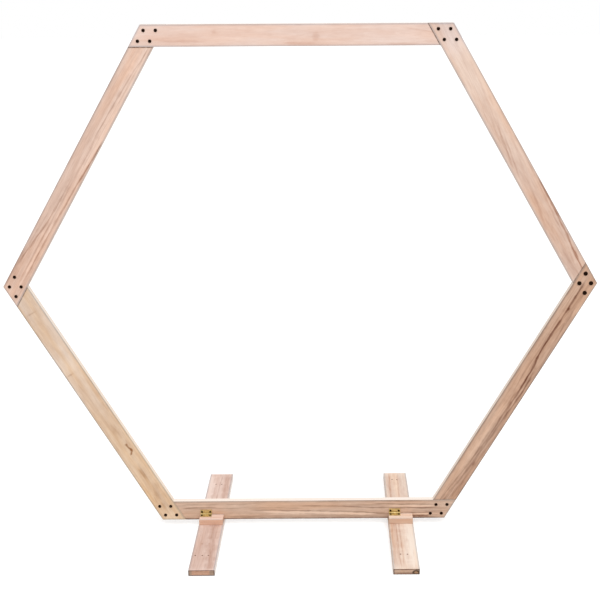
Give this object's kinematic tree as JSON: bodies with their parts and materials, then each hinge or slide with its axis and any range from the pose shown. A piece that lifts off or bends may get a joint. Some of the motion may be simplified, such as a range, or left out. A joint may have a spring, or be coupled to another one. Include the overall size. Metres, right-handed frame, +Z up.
{
  "type": "wedding arch",
  "caption": "Free-standing hexagonal arch of half-lapped softwood boards bolted at the corners, on feet boards that fold up on small brass hinges.",
  "frame": {"origin": "on the floor under the middle of the arch: half way along it and half way between the front and back ends of the feet", "axes": "+X along the width of the arch, +Z up, -Y towards the front, where the stop blocks and hinges are"},
  "size_m": [2.1994, 0.75, 1.9276],
  "materials": {
    "pale_pine": "raw sawn and planed pine, pale cream pink",
    "pink_pine": "raw planed pine, pinkish with brown grain streaks",
    "tan_pine": "raw planed pine, yellowish tan",
    "brown_pine": "raw planed pine with dark brown streaks",
    "dark_bolt": "blackened furniture bolts",
    "brass": "brass plated butt hinges"
  },
  "bodies": {
    "frame": {"top_rail": "pale_pine", "upper_right_board": "pink_pine", "lower_right_board": "brown_pine", "bottom_rail": "brown_pine", "lower_left_board": "tan_pine", "upper_left_board": "pink_pine", "top_left_corner_bolt_1": "dark_bolt", "top_left_corner_bolt_2": "dark_bolt", "top_left_corner_bolt_3": "dark_bolt", "top_left_corner_bolt_4": "dark_bolt", "top_right_corner_bolt_1": "dark_bolt", "top_right_corner_bolt_2": "dark_bolt", "top_right_corner_bolt_3": "dark_bolt", "top_right_corner_bolt_4": "dark_bolt", "right_corner_bolt_1": "dark_bolt", "right_corner_bolt_2": "dark_bolt", "right_corner_bolt_3": "dark_bolt", "right_corner_bolt_4": "dark_bolt", "bottom_right_corner_bolt_1": "dark_bolt", "bottom_right_corner_bolt_2": "dark_bolt", "bottom_right_corner_bolt_3": "dark_bolt", "bottom_right_corner_bolt_4": "dark_bolt", "bottom_left_corner_bolt_1": "dark_bolt", "bottom_left_corner_bolt_2": "dark_bolt", "bottom_left_corner_bolt_3": "dark_bolt", "bottom_left_corner_bolt_4": "dark_bolt", "left_corner_bolt_1": "dark_bolt", "left_corner_bolt_2": "dark_bolt", "left_corner_bolt_3": "dark_bolt", "left_corner_bolt_4": "dark_bolt", "left_hinge_rail_leaf": "brass", "left_hinge_pin": "brass", "right_hinge_rail_leaf": "brass", "right_hinge_pin": "brass"},
    "left_base": {"left_foot": "pale_pine", "left_stop_block": "pale_pine", "left_hinge_foot_leaf": "brass"},
    "right_base": {"right_foot": "pale_pine", "right_stop_block": "pale_pine", "right_hinge_foot_leaf": "brass"}
  },
  "joints": [
    {"name": "left_foot_fold", "type": "hinge", "parent": "frame", "child": "left_base", "pos_m": [-0.3795, -0.0138, 0.0471], "axis": [-1, 0, 0], "range_deg": [0, 90]},
    {"name": "right_foot_fold", "type": "hinge", "parent": "frame", "child": "right_base", "pos_m": [0.3555, -0.0138, 0.0471], "axis": [-1, 0, 0], "range_deg": [0, 90]}
  ]
}
